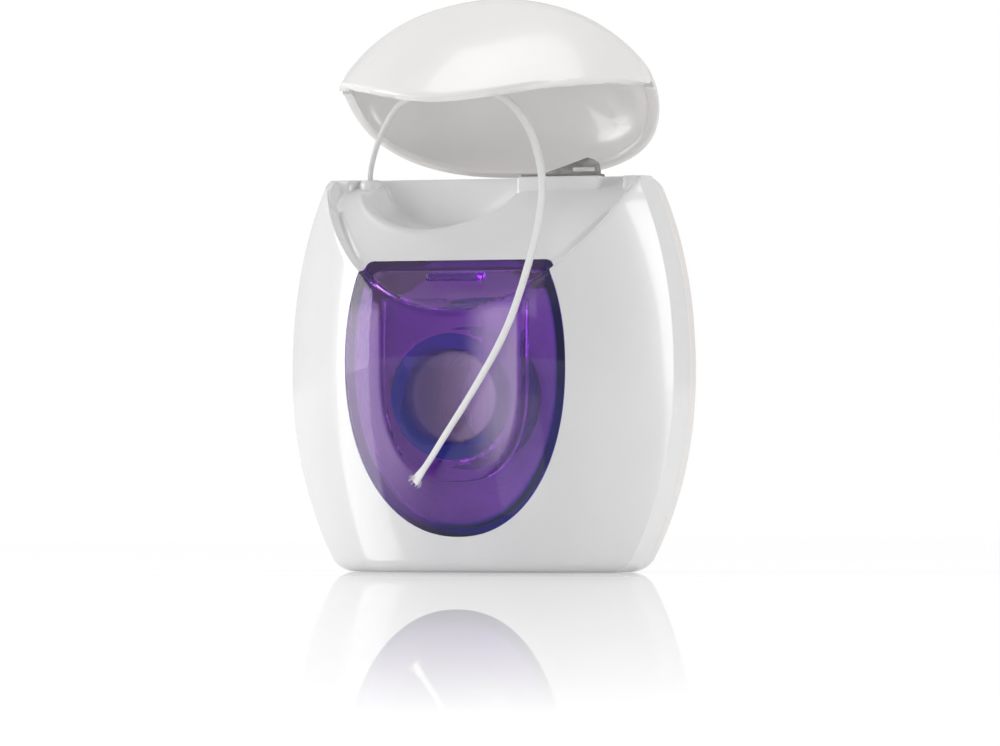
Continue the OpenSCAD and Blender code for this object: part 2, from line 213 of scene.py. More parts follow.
whiteShell = shellPaint("whiteShell", (0.86, 0.86, 0.865, 1), (0.82, 0.82, 0.83, 1), 0.2)
rearShell = shellPaint("rearShell", (0.91, 0.885, 0.865, 1), (0.87, 0.845, 0.825, 1), 0.26)
# Painted light: the lid gets a lighter copy of the white plastic than the housing, to lift its
# shaded inside
litLidShell = shellPaint("litLidShell", (0.94, 0.93, 0.92, 1), (0.91, 0.9, 0.885, 1), 0.2)


def purplePaint(name, swallow, light, dark, clear=1.0, paintedReflection=None, rim=None):
    # Clear purple plastic. It swallows this much red, green and blue per metre, so that thick
    # parts go navy
    paint = Paint(name, IOR=1.46, Transmission_Weight=clear, Specular_IOR_Level=0.15)
    cloud = paint.noise(160, 4, 0.55)
    tint = paint.mix(cloud, dark, light)
    # Painted shade: deep navy mixed into the tint where the given mask says
    if rim:
        tint = paint.mix(rim(paint), tint, (0.03, 0.1, 0.5, 1))
    paint.set(Base_Color=tint, Roughness=0.015 + cloud * 0.03)
    paint.bump(paint.noise(70, 3, 0.5), 0.00008, 0.25)
    # Painted reflection: a streaky lilac diffuse layer laid over the plastic where the given mask
    # says
    if paintedReflection:
        reflectionStreaks = paint.noise(260, 5, 0.6, paint.stretched((1.0, 1.0, 0.2))).ramp(0.2, 0.8, 0.8, 1.1)
        paint.under("BsdfDiffuse", paintedReflection(paint) * reflectionStreaks, Color=(0.72, 0.58, 0.82, 1))
    paint.under("BsdfTransparent", paint.rays("Is Shadow Ray"), Color=(0.95, 0.92, 0.98, 1))
    density = max(swallow) + 20.0
    fill = paint.raw("VolumeAbsorption")
    paint.give(fill.inputs["Color"], tuple(1 - v / density for v in swallow) + (1.0,))
    paint.give(fill.inputs["Density"], density)
    paint.tree.links.new(fill.outputs[0], paint.output.inputs["Volume"])
    return paint.material


def steelPaint():
    # Stamped steel: rolled streaks along X, dull blotches and small pits
    paint = Paint("cutterSteel", Metallic=1.0, Anisotropic=0.4)
    streak = paint.noise(900, 6, 0.7, paint.stretched((0.08, 1.0, 1.0)))
    blotch = paint.noise(420, 4, 0.6)
    pits = paint.noise(5200, 2, 0.5).ramp(0.62, 0.75)
    tone = (streak * 0.5 + blotch * 0.5).ramp(0.35, 0.65)
    paint.set(
        Base_Color=paint.mix(tone, (0.13, 0.125, 0.12, 1), (0.32, 0.315, 0.305, 1)),
        Roughness=0.24 + blotch * 0.2 + pits * 0.15,
    )
    paint.bump(streak * 0.6 - pits * 0.6, 0.00003, 0.7)
    return paint.material


cutterSteel = steelPaint()


def spoolPaint():
    # Satin spool: turned rings from its mould and a cloudy gloss
    paint = Paint("spoolPlastic", IOR=1.49)
    cloud = paint.noise(210, 4, 0.55)
    x = paint.axis(0)
    z = paint.axis(2) - spoolAxis * mm
    ring = ((x * x + z * z).maths("SQRT") * 9000).sine()
    paint.set(
        Base_Color=paint.mix(cloud.ramp(0.3, 0.7), (0.3, 0.2, 0.42, 1), (0.39, 0.27, 0.52, 1)),
        Roughness=0.33 + cloud * 0.14,
    )
    paint.bump(ring * 0.2 + cloud * 0.8, 0.00003, 0.6)
    return paint.material


spoolPlastic = spoolPaint()


def flossPaint():
    # Waxed filaments: fine lines along the strand, laid over with wax in soft patches
    paint = Paint("flossFibre", IOR=1.45, Sheen_Weight=0.35, Sheen_Roughness=0.4)
    along = paint.axis(0, "UV")
    around = paint.axis(1, "UV")
    fibres = (around * 165 + along * 40).sine() * 0.5 + 0.5
    wax = paint.noise(1500, 4, 0.6)
    share = (fibres * 0.45 + wax * 0.55).clamped()
    paint.set(
        Base_Color=paint.mix(share, (0.93, 0.93, 0.92, 1), (0.985, 0.985, 0.985, 1)),
        Roughness=0.42 + wax * 0.25,
    )
    paint.bump(fibres * 0.7 + wax * 0.3, 0.00005, 0.8)
    return paint.material


flossFibre = flossPaint()
print("materials")


# Cords come first: the free floss, from the exit to its cut end
cordSettings = {
    "route": [
        (-14.6, 3, 43.8), (-14.6, 3, 45.4), (-13.7, 2.6, 48.2), (-11.9, 1.5, 51),
        (-9.2, 0, 53.2), (-4.4, -2, 54.5), (1.2, -3.8, 54.2), (5.4, -5.3, 52.4),
        (7.9, -6, 49.6), (9.3, -6.2, 46), (9.9, -6.8, 42.4), (9.9, -8.4, 38),
        (9.3, -10, 33.6), (8.1, -11, 29), (6.5, -11.45, 25.2), (4.5, -11.5, 21.8),
        (2.3, -11.5, 18.4), (0.1, -11.4, 15.2), (-1.9, -11.25, 12.3), (-3.6, -11.1, 10.1),
    ],
    "steps": 8,
    "wide": 0.46,
    "gathered": 0.62,
    "gatheredLength": 22,
    "thick": 0.2,
    "sides": 28,
    "twist": 0.9,
    "flutes": 9,
    "flute": 0.035,
    "flare": 1.65,
    "flareLength": 2.2,
}


def catmull(points, steps):
    n = len(points) - 1
    made = []
    for i in range(n):
        a, b, c, d = (Vector(points[min(max(i + k, 0), n)]) for k in (-1, 0, 1, 2))
        for s in range(steps):
            t = s / steps
            made.append(
                0.5 * (2 * b + (c - a) * t + (2 * a - 5 * b + 4 * c - d) * t * t
                       + (3 * b - a - 3 * c + d) * t * t * t)
            )
    made.append(Vector(points[-1]))
    return made


def smoothstep(v):
    v = max(0.0, min(1.0, v))
    return v * v * (3 - 2 * v)


def gridMesh(columns, rows, place, uv=False):
    # A grid whose points are put by place(column, row), in mm
    bm = bmesh.new()
    bmesh.ops.create_grid(bm, x_segments=columns, y_segments=rows, size=0.5, calc_uvs=uv)
    layer = bm.loops.layers.uv.active
    if uv and layer is None:
        layer = bm.loops.layers.uv.new("UVMap")
    for v in bm.verts:
        i = round((v.co.x + 0.5) * columns)
        j = round((v.co.y + 0.5) * rows)
        if layer:
            for loop in v.link_loops:
                loop[layer].uv = (i / columns, j / rows)
        v.co = Vector(place(i, j)) * mm
    return bm


def poured(bm, parts):
    # The parts' meshes go into bm
    for part in parts:
        mesh = bpy.data.meshes.new("part")
        part.to_mesh(mesh)
        bm.from_mesh(mesh)
        part.free()
        bpy.data.meshes.remove(mesh)
    return bm


def closed(parts, gap=0.004):
    bm = poured(bmesh.new(), parts)
    bmesh.ops.remove_doubles(bm, verts=bm.verts, dist=gap * mm)
    bmesh.ops.recalc_face_normals(bm, faces=bm.faces)
    return bm


def capped(bm, gap):
    # Points nearer than gap merged, open ends filled
    bmesh.ops.remove_doubles(bm, verts=bm.verts, dist=gap * mm)
    bmesh.ops.holes_fill(bm, edges=[e for e in bm.edges if e.is_boundary])
    bmesh.ops.recalc_face_normals(bm, faces=bm.faces)
    return bm


def creased(verts, angle):
    def sharp(e):
        return e.is_manifold and e.calc_face_angle(0) > angle

    return [v for v in verts if any(sharp(e) for e in v.link_edges)]


def softened(bm, verts, times):
    for _ in range(times):
        bmesh.ops.smooth_vert(
            bm, verts=verts, factor=0.5, use_axis_x=True, use_axis_y=True, use_axis_z=True)


def piece(bm, name, material, sharp=38):
    mesh = bpy.data.meshes.new(name)
    bm.to_mesh(mesh)
    bm.free()
    obj = bpy.data.objects.new(name, mesh)
    bpy.context.scene.collection.objects.link(obj)
    mesh.materials.append(material)
    shaded(obj, sharp)
    return obj


def shaded(obj, sharp):
    obj.data.shade_smooth()
    obj.data.set_sharp_from_angle(angle=math.radians(sharp))


def applied(obj):
    # What the modifiers make takes the mesh's place
    graph = bpy.context.evaluated_depsgraph_get()
    mesh = bpy.data.meshes.new_from_object(obj.evaluated_get(graph))
    old = obj.data
    obj.modifiers.clear()
    obj.data = mesh
    bpy.data.meshes.remove(old)


def combined(obj, bm, kind):
    # obj cut by, joined with or cut down to the solid in bm
    tool = piece(bm, "tool", obj.data.materials[0])
    modifier = obj.modifiers.new("combine", "BOOLEAN")
    modifier.operation = kind
    modifier.solver = "EXACT"
    modifier.object = tool
    applied(obj)
    bpy.data.objects.remove(tool)


def added(obj, parts):
    # More closed parts in the object's mesh
    bm = bmesh.new()
    bm.from_mesh(obj.data)
    poured(bm, parts)
    bm.to_mesh(obj.data)
    bm.free()


def spun(points, centre, axis, steps):
    # A closed ring of points, in mm, spun about an axis through the centre
    bm = bmesh.new()
    verts = [bm.verts.new(Vector(p) * mm) for p in points]
    edges = [bm.edges.new((verts[i], verts[(i + 1) % len(verts)])) for i in range(len(verts))]
    bmesh.ops.spin(
        bm, geom=verts + edges, cent=Vector(centre) * mm, axis=axis, angle=2 * math.pi,
        steps=steps, use_merge=True)
    bmesh.ops.recalc_face_normals(bm, faces=bm.faces)
    return bm


def strand(path, wide, thick, sides, side, twist=0.0, flutes=0, flute=0.0, flare=None):
    # A flat strand with its cross-section square to the path
    n = len(path)
    rings = []
    for i, p in enumerate(path):
        t = (path[min(i + 1, n - 1)] - path[max(i - 1, 0)]).normalized()
        u = t.cross(Vector(side)).normalized()
        w = t.cross(u)
        grow = flare(i) if flare else 1.0
        turn = twist * i / n
        ring = []
        for k in range(sides):
            a = 2 * math.pi * k / sides
            r = 1 + flute * math.cos(flutes * a + 0.35 * i)
            x = wide * grow * r * math.cos(a)
            y = thick * r * math.sin(a)
            ring.append(
                p + (x * math.cos(turn) - y * math.sin(turn)) * u
                + (x * math.sin(turn) + y * math.cos(turn)) * w
            )
        rings.append(ring)
    bm = gridMesh(n - 1, sides, lambda i, k: rings[i][k % sides], uv=True)
    return capped(bm, 0.0005)


def flossTail():
    s = cordSettings
    path = catmull(s["route"], s["steps"])
    lengths = [0.0]
    for a, b in zip(path, path[1:]):
        lengths.append(lengths[-1] + (b - a).length)

    def flare(i):
        # Gathered at the exit, full width past its loop's top, spread at the cut
        left = lengths[-1] - lengths[i]
        loose = smoothstep(lengths[i] / s["gatheredLength"])
        gathered = s["gathered"] + (1 - s["gathered"]) * loose
        return gathered + (s["flare"] - 1) * smoothstep(1 - left / s["flareLength"])

    side = Vector((0.36, -0.93, 0.0))
    bm = strand(
        path, s["wide"], s["thick"], s["sides"], side, s["twist"], s["flutes"], s["flute"], flare
    )
    # Loose filaments at the cut end
    tip, before = path[-1], path[-4]
    out = (tip - before).normalized()
    across = out.cross(side).normalized()
    threads = []
    for k in range(11):
        f = (k - 5) / 5
        reach = 0.34 + 0.16 * math.sin(k * 2.4)
        root = tip - out * 0.5 + across * (0.62 * f) + side * (0.1 * math.cos(k * 1.7))
        tops = [root + (out * reach + across * (0.1 * f)) * t * 2 for t in (0, 0.35, 0.7, 1.0)]
        threads.append(strand(tops, 0.045, 0.045, 6, side))
    poured(bm, threads)
    obj = piece(bm, "flossTail", flossFibre)
    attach(obj, "body")
    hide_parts("floss_tail")
    tuple(path[0] * mm)
    [tuple(p * mm) for p in path]


flossTail()
print("free floss")

# The body's form, in mm, as the part's own source has it
form = {
    "half": 22.95, "widest": 22.2, "top": 44.4, "lowReach": 33.4, "upReach": 35, "bulge": 10.6,
    "band": 5.5, "wall": 1.3, "domeZ": 25, "foot": 4.9, "domePow": 2.7, "upPow": 2.15,
    "aimY": -5.5, "aimPow": 2.2, "shoulder": 43, "lipZ": 29.2, "partFlat": 1.5, "partPow": 1.3,
    "panelFlat": 1.2, "panelZ": 42.8, "panelPow": 1.3, "ledge": 1.5, "panelIn": 0.3,
    "footRound": 1.5,
}
aimZ = form["widest"] + form["upReach"]


def clamp(v):
    return max(0.0, min(1.0, v))


def bend(v, p):
    return clamp(1 - clamp(v) ** p) ** (1 / p)


def halfWidth(z, d=0.0):
    f = form
    if z < f["widest"]:
        drop = (f["widest"] - z) / (f["lowReach"] - d)
        return (f["half"] - d) * math.sqrt(clamp(1 - drop ** 2))
    return (f["half"] - d) * bend((z - f["widest"]) / (f["upReach"] - d), f["upPow"])


def creaseY(z):
    return 0.0 if z < form["shoulder"] else (
        form["aimY"] * (z - form["shoulder"]) / (aimZ - form["shoulder"]))


def frontMid(z):
    f = form
    if z < f["domeZ"]:
        return -f["bulge"] + f["foot"] * ((f["domeZ"] - z) / f["domeZ"]) ** 2
    rise = (z - f["domeZ"]) / (aimZ - f["domeZ"])
    return -f["bulge"] + (f["bulge"] + f["aimY"]) * rise ** f["aimPow"]


def frontAt(q, z, d=0.0):
    a = frontMid(z) + d
    return a + (creaseY(z) + 0.4 * d - a) * min(1.0, abs(q)) ** form["domePow"]


def frontY(x, z, d=0.0):
    w = halfWidth(z, d)
    return frontAt(x / w if w > 0.01 else 1.0, z, d)


lipY = frontMid(form["lipZ"])
panelY0 = lipY + form["ledge"] - form["panelIn"]


def partZ(y):
    f = form
    return f["lipZ"] + (f["top"] - f["lipZ"]) * bend(
        (f["partFlat"] - y) / (f["partFlat"] - lipY), f["partPow"])


def panelAt(y):
    f = form
    return f["lipZ"] + (f["panelZ"] - f["lipZ"]) * bend(
        (f["panelFlat"] - y) / (f["panelFlat"] - panelY0), f["panelPow"])


panelRun = {"y": 0.3, "z": 42.37, "slope": 0.618, "sag": 0.034}


def panelTop(y):
    # The panel's slope carried on up to the rim, as the photo shows it
    s = panelRun
    u = y - s["y"]
    return panelAt(y) if u <= 0 else s["z"] + s["slope"] * u - s["sag"] * u * u


def solved(above, low, high):
    for _ in range(30):
        m = (low + high) / 2
        if above(m):
            high = m
        else:
            low = m
    return (low + high) / 2


def rimAt(q):
    return solved(lambda z: z > partZ(frontAt(q, z)), form["lipZ"] - 0.5, form["top"])


tipZ = partZ(0)
tipX = halfWidth(tipZ)
tipIn = tipX - form["ledge"]
hingeY = 14.2
hingeZ = 44.7


def arcY(x, d=0.0):
    return (hingeY - d) * bend(abs(x) / (tipX - d), 2.6)


def footIn(z, r=form["footRound"]):
    return r - math.sqrt(max(0.0, r * r - (r - z) ** 2)) if z < r else 0.0


def softMin(a, b, k):
    h = max(k - abs(a - b), 0.0) / k
    return min(a, b) - h * h * k * 0.25


# The body's grids share their columns, rows and depth steps, so that they close along their edges
bodyGrid = {
    "columns": 150, "rows": 92, "rowHeight": 38, "ledgeRows": 5, "panelRows": 40, "riseRows": 3,
    "rimRows": 4,
}
footRows = [0, 0.05, 0.15, 0.3, 0.5, 0.75, 1.05, 1.35, 1.7]


def columnsOf(n):
    return [math.sin(math.pi / 2 * (2 * i / n - 1)) for i in range(n + 1)]


def rowsOf(n, height):
    foot = [z / height for z in footRows]
    rest = n - len(foot) + 1
    start = foot[-1]
    return foot + [start + (1 - start) * i / rest for i in range(1, rest + 1)]


scoopForm = {"x": -5.2, "y": -1, "z": 50.5, "r": 12.2, "back": 4.15, "soft": 0.7}
exitForm = {
    "x": -14.6, "y": 3, "bore": 0.7, "ground": 44.2, "flat": 1.2, "fall": 1.6,
    "lip": [(0.72, 43.2), (0.72, 44.22), (0.8, 44.34), (0.94, 44.36), (1.08, 44.26), (1.2, 44.06),
            (1.34, 43.86), (1.34, 43.2)],
}


def topHeight(x, y, zr, y1, y2):
    f = form
    if y <= y1 and abs(x) < tipIn + 1:
        base = zr + 0.12 * smoothstep((y - y1 + 0.5) / 0.5)
    else:
        share = smoothstep((tipIn + 0.9 - abs(x)) / 1.1) * smoothstep((y2 - y) / 0.25 + 1)
        base = max(zr, share * min(panelTop(y), f["top"]) + (1 - share) * partZ(y))
    s, e = scoopForm, exitForm
    flat = s["r"] ** 2 - (x - s["x"]) ** 2 - (y - s["y"]) ** 2
    if flat > 0 and y < s["back"] + 0.4:
        bowl = s["z"] - math.sqrt(flat)
        bowl += 6 * smoothstep((y - s["back"] + 0.2) / 0.6)
        # Firm ground round the floss exit
        past = max(0.0, math.hypot(x - e["x"], y - e["y"]) - e["flat"])
        bowl = max(bowl, e["ground"] - e["fall"] * past ** 1.5)
        base = softMin(base, bowl, s["soft"])
    return base


def bodySolid():
    g, f = bodyGrid, form
    n, m = g["columns"], g["rows"]
    qs = columnsOf(n)
    vs = rowsOf(m, g["rowHeight"])
    rims = [rimAt(q) for q in qs]
    steps = g["ledgeRows"] + g["panelRows"] + g["riseRows"] + g["rimRows"]

    def depths(j):
        q, zr = qs[j], rims[j]
        x = q * halfWidth(zr)
        y0 = frontAt(q, zr)
        inner = smoothstep((tipIn - abs(x)) / 0.8)
        y1 = y0 + 0.45 + (frontY(x, zr, f["ledge"]) - y0 - 0.45) * inner
        y2 = max(y1 + 0.6, min(f["band"] - 1, arcY(x, f["ledge"])) * inner + 0.9 * (1 - inner))
        made = [y0 + (y1 - y0) * i / g["ledgeRows"] for i in range(g["ledgeRows"] + 1)]
        run = [(i / g["panelRows"]) ** 1.15 for i in range(1, g["panelRows"] + 1)]
        made += [y1 + (y2 - y1) * share for share in run]
        made += [y2 + 0.3 * i / g["riseRows"] for i in range(1, g["riseRows"] + 1)]
        y3 = made[-1]
        made += [y3 + (f["band"] - y3) * i / g["rimRows"] for i in range(1, g["rimRows"] + 1)]
        return made, y1, y2

    cuts = [depths(j) for j in range(n + 1)]
    side = cuts[0][0]
    starts = [creaseY(rims[0] if k == 0 else partZ(y)) for k, y in enumerate(side)]
    shares = [(y - c) / (f["band"] - c) for y, c in zip(side, starts)]

    def front(j, i):
        z = vs[i] * rims[j]
        d = footIn(z)
        return (qs[j] * (halfWidth(z) - d), frontAt(qs[j], z, d), z)

    def top(j, k):
        ys, y1, y2 = cuts[j]
        q, y = qs[j], ys[k]
        x0, x1 = q * halfWidth(rims[j]), q * halfWidth(f["top"])
        if k == 0:
            return (x0, y, rims[j])
        if j in (0, n):
            return (q * halfWidth(partZ(max(y, creaseY(tipZ)))), y, partZ(y))
        x = x0 + (x1 - x0) * clamp((y - ys[0]) / (f["band"] - ys[0]))
        return (x, y, partZ(y) if k == steps else topHeight(x, y, rims[j], y1, y2))

    def flank(sign):
        def place(i, k):
            z = vs[i] * (rims[0] if k == 0 else partZ(side[k]))
            d = footIn(z)
            c = frontAt(1.0, z, d)
            return (sign * (halfWidth(z) - d), c + (f["band"] - c) * shares[k], z)
        return place

    def base(j, k):
        d = footIn(0)
        y0 = frontAt(qs[j], 0, d)
        return (qs[j] * (halfWidth(0) - d), y0 + (f["band"] - y0) * shares[k], 0)

    def back(j, i):
        z = vs[i] * f["top"]
        return (qs[j] * (halfWidth(z) - footIn(z)), f["band"], z)

    bm = closed([
        gridMesh(n, m, front), gridMesh(n, steps, top), gridMesh(m, steps, flank(-1)),
        gridMesh(m, steps, flank(1)), gridMesh(n, steps, base), gridMesh(n, m, back),
    ])

    # The lip, the ledge and the shoulder crease are softened, the seam's edge is not
    def mayMove(v):
        return v.co.y < (f["band"] - 0.3) * mm and v.co.z > 0.2 * mm

    near = creased([v for v in bm.verts if mayMove(v)], 0.2)
    ring = set(near)
    for v in near:
        ring.update(e.other_vert(v) for e in v.link_edges)
    softened(bm, [v for v in ring if mayMove(v)], 3)
    return bm


def hollowSolid(d, back):
    f = form
    n, m, c = 60, 40, 14
    qs = columnsOf(n)
    tops = [
        solved(lambda z, q=q: z > panelAt(frontAt(q, z, d)) - d, d + 1, f["top"] - 0.5) for q in qs
    ]

    def front(j, i):
        z = d + (tops[j] - d) * i / m
        return (qs[j] * halfWidth(z, d), frontAt(qs[j], z, d), z)

    def roof(j, k):
        y0 = frontAt(qs[j], tops[j], d)
        y = y0 + (back - y0) * k / c
        z = max(tops[j], panelAt(y) - d)
        x0 = qs[j] * halfWidth(tops[j], d)
        x1 = qs[j] * halfWidth(f["panelZ"] - d, d)
        return (x0 + (x1 - x0) * k / c, y, z if k < c else f["panelZ"] - d)

    def flank(sign):
        def place(i, k):
            if k == 0:
                x, y, z = front(0, i)
                return (sign * abs(x), y, z)
            if i == m:
                x, y, z = roof(0, k)
                return (sign * abs(x), y, z)
            zt = roof(0, k)[2]
            z = d + (zt - d) * i / m
            y0 = frontAt(1, z, d)
            return (sign * halfWidth(z, d), y0 + (back - y0) * k / c, z)
        return place

    def floor(j, k):
        y0 = frontAt(qs[j], d, d)
        return (qs[j] * halfWidth(d, d), y0 + (back - y0) * k / c, d)

    def rear(j, i):
        if j in (0, n):
            return flank(-1 if j == 0 else 1)(i, c)
        z = d + (f["panelZ"] - 2 * d) * i / m
        return (qs[j] * halfWidth(z, d), back, z)

    def lowered(j, k):
        return flank(-1 if j == 0 else 1)(0, k) if j in (0, n) else floor(j, k)

    return closed([
        gridMesh(n, m, front), gridMesh(n, c, roof), gridMesh(m, c, flank(-1)),
        gridMesh(m, c, flank(1)), gridMesh(n, c, lowered), gridMesh(n, m, rear),
    ])


def scoopSolid(d):
    # The scoop's ball, larger by d, ahead of its flat back
    s = scoopForm
    bm = bmesh.new()
    bmesh.ops.create_uvsphere(bm, u_segments=72, v_segments=40, radius=(s["r"] + d) * mm)
    bmesh.ops.translate(bm, verts=bm.verts, vec=Vector((s["x"], s["y"], s["z"])) * mm)
    cut = bmesh.ops.bisect_plane(
        bm, geom=bm.verts[:] + bm.edges[:] + bm.faces[:], plane_co=(0, (s["back"] + d) * mm, 0),
        plane_no=(0, 1, 0), clear_outer=True)
    rim = [e for e in cut["geom_cut"] if isinstance(e, bmesh.types.BMEdge)]
    bmesh.ops.holes_fill(bm, edges=rim)
    bmesh.ops.recalc_face_normals(bm, faces=bm.faces)
    return bm


def meshOf(obj):
    # The object's mesh as a bmesh; the object goes
    bm = bmesh.new()
    bm.from_mesh(obj.data)
    bpy.data.objects.remove(obj)
    return bm


# The purple window's outline in front view
windowForm = {
    "half": 13.15, "reach": 19.2, "z": 23.2, "top": 34.8, "pow": 2.15, "corner": 1.0, "steps": 56,
    "thick": 1.2, "back": -4.64, "gap": 0.07, "catch": ((-3.1, -9.1, 32.45), (3.1, -6.2, 33.35)),
    "catchSoft": 0.25,
}


def windowOutline(d):
    s = windowForm
    start = math.asin((s["top"] - d - s["corner"] - s["z"]) / (s["reach"] - d))
    made = []
    for i in range(s["steps"] + 1):
        z = s["z"] + (s["reach"] - d) * math.sin(start - (start + math.pi / 2) * i / s["steps"])
        made.append(((s["half"] - d) * bend(abs(z - s["z"]) / (s["reach"] - d), s["pow"]), z))
    x0, z0 = made[0]
    c = s["corner"]
    turn = [(x0 - c + c * math.sin(a), z0 + c * math.cos(a)) for a in (0, 0.4, 0.8, 1.2)]
    n = 16
    level = [((x0 - c) * i / n, s["top"] - d) for i in range(n)]
    right = level + turn + made
    return right + [(-x, z) for x, z in reversed(right[1:-1])]


def prism(rings):
    # A closed solid through rings of points, each in mm
    bm = bmesh.new()
    loops = [[bm.verts.new(Vector(p) * mm) for p in ring] for ring in rings]
    n = len(loops[0])
    for a, b in zip(loops, loops[1:]):
        for i in range(n):
            bm.faces.new((a[i], a[(i + 1) % n], b[(i + 1) % n], b[i]))
    bm.faces.new(loops[0])
    bm.faces.new(list(reversed(loops[-1])))
    bmesh.ops.recalc_face_normals(bm, faces=bm.faces)
    return bm


def windowPrism(d, y0, y1):
    return prism([[(x, y, z) for x, z in windowOutline(d)] for y in (y0, y1)])


def disc(x, y0, y1, z, r, sides=72):
    return prism([
        [(x + r * math.cos(2 * math.pi * i / sides), y, z + r * math.sin(2 * math.pi * i / sides))
         for i in range(sides)] for y in (y0, y1)])


def upright(x, y, z0, z1, r, sides=48):
    return prism([
        [(x + r * math.cos(2 * math.pi * i / sides), y + r * math.sin(2 * math.pi * i / sides), z)
         for i in range(sides)] for z in (z0, z1)])


def block(low, high, soften=0.0, segments=3):
    bm = bmesh.new()
    bmesh.ops.create_cube(bm, size=1.0)
    low, high = Vector(low), Vector(high)
    for v in bm.verts:
        v.co = Vector((low[k] + (v.co[k] + 0.5) * (high[k] - low[k]) for k in range(3))) * mm
    if soften:
        bmesh.ops.bevel(
            bm, geom=bm.edges[:], offset=soften * mm, offset_type="OFFSET", segments=segments,
            profile=0.5, affect="EDGES", material=-1)
    return bm


blockForm = {"low": (3.9, 1.0, 41.8), "high": (13.7, 5.35, 44.38), "soft": 0.28}


def housing():
    e, b = exitForm, blockForm
    obj = piece(bodySolid(), "bodyShell", whiteShell)
    inside = piece(hollowSolid(form["wall"], form["band"] + 1), "inside", whiteShell)
    combined(inside, scoopSolid(form["wall"]), "DIFFERENCE")
    combined(obj, meshOf(inside), "DIFFERENCE")
    combined(obj, windowPrism(0, -14, windowForm["back"] + 0.05), "DIFFERENCE")
    combined(obj, upright(e["x"], e["y"], 38, 50, e["bore"]), "DIFFERENCE")
    lip = spun([(e["x"] + r, e["y"], z) for r, z in e["lip"]], (e["x"], e["y"], 0), (0, 0, 1), 48)
    added(obj, [lip, block(b["low"], b["high"], b["soft"])])
    shaded(obj, 38)
    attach(obj, "body")
    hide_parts("housing")


housing()
print("housing")


# Each hub is (start, end, radius) along Y
coverForm = {
    "columns": 120, "rows": 80, "steps": 6,
    "gap": 0.06, "inset": 0.1, "round": 0.6, "swell": 7.4, "swellFoot": 0.6, "band": 2,
    "hubs": [(7.6, 13.4, 5.2), (10.2, 13.4, 7.9)],
    "ribs": 12, "ribLow": (1.2, 7.35, -0.22), "ribHigh": (4.9, 7.8, 0.22),
}


def rearCover():
    f, c = form, coverForm
    n, m, k = c["columns"], c["rows"], c["steps"]
    qs = columnsOf(n)
    vs = rowsOf(m, f["top"])
    y0 = f["band"] + c["gap"]
    y1 = f["band"] + c["band"]

    def widthAt(z):
        return halfWidth(z) - footIn(z) - footIn(f["top"] - z, c["round"])

    def rear(j, i):
        z = vs[i] * f["top"]
        swell = c["swell"] * (1 - c["swellFoot"] * clamp((f["domeZ"] - z) / f["domeZ"]) ** 2)
        bow = abs(qs[j]) ** f["domePow"]
        y = y1 + swell * (1 - bow)
        y -= footIn(z) * (1 - 0.4 * bow) + footIn(f["top"] - z, c["round"])
        return (qs[j] * widthAt(z), y, z)

    def flank(sign):
        def place(i, s):
            x, y, z = rear(n if sign > 0 else 0, i)
            inset = c["inset"] if s == 0 else 0.0
            return (x - sign * inset, y0 + (y - y0) * s / k, z)
        return place

    def level(i):
        def place(j, s):
            x, y, z = rear(j, i)
            inset = c["inset"] if s == 0 else 0.0
            if j in (0, n):
                return flank(1 if j else -1)(i, s)
            return (x * (1 - inset / max(abs(widthAt(z)), 1)), y0 + (y - y0) * s / k, z)
        return place

    bm = closed([
        gridMesh(n, m, rear), gridMesh(m, k, flank(-1)), gridMesh(m, k, flank(1)),
        gridMesh(n, k, level(0)), gridMesh(n, k, level(m)),
    ])
    free = [v for v in bm.verts if v.co.y > (y0 + 0.4) * mm and v.co.z > 0.4 * mm]
    softened(bm, creased(free, 0.2), 3)
    obj = piece(bm, "backCover", rearShell)
    thick = obj.modifiers.new("wall", "SOLIDIFY")
    thick.thickness = f["wall"] * mm
    thick.offset = -1
    thick.use_even_offset = False
    applied(obj)
    parts = [disc(0, start, end, spoolAxis, r) for start, end, r in c["hubs"]]
    for i in range(c["ribs"]):
        turn = Matrix.Rotation(2 * math.pi * i / c["ribs"], 3, "Y")
        rib = block(c["ribLow"], c["ribHigh"], 0.1, 2)
        bmesh.ops.rotate(rib, verts=rib.verts, cent=(0, 0, 0), matrix=turn)
        bmesh.ops.translate(rib, verts=rib.verts, vec=Vector((0, 0, spoolAxis)) * mm)
        parts.append(rib)
    added(obj, parts)
    shaded(obj, 38)
    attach(obj, "body")
    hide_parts("back_cover")


rearCover()
print("back cover")


tongueForm = {
    "half": 8.3, "low": 10.2, "turn": 22.5, "top": 30.5, "pow": 2.5, "gap": 0.04, "thick": 1.8,
    "steps": 20,
}


def paintedPaneReflection(paint):
    # Painted reflection: a lilac layer that stands in for the studio's reflections in the pane,
    # outside the tongue at the left, over it at the right, over the spindle's bore and faintly
    # along the top
    t = tongueForm
    x, z = paint.axis(0), paint.axis(2)
    below = (z - t["turn"] * mm).maths("MINIMUM", 0.0) / ((t["turn"] - t["low"]) * mm)
    tongue = (x / (t["half"] * mm)).size() ** t["pow"] + below.size() ** t["pow"]
    low = 1 - z.ramp(0.0285, t["top"] * mm)
    left = tongue.ramp(0.96, 1.12) * (0 - x).ramp(0.001, 0.008, 0.0, 0.3)
    left = left * z.ramp(0.005, 0.015, 0.2, 1.0)
    right = (1 - tongue.ramp(0.88, 1.0)) * x.ramp(0.0015, 0.006, 0.0, 0.52)
    right = right * z.ramp(0.01, 0.018, 0.3, 1.0)
    bx, bz = x - 0.0007, z - spoolAxis * mm
    bore = 1 - (bx * bx + bz * bz).maths("SQRT").ramp(0.0047, 0.0052)
    return (left + right) * low + bore * x.ramp(-0.003, 0.003, 0.06, 0.2) + (1 - low) * 0.03


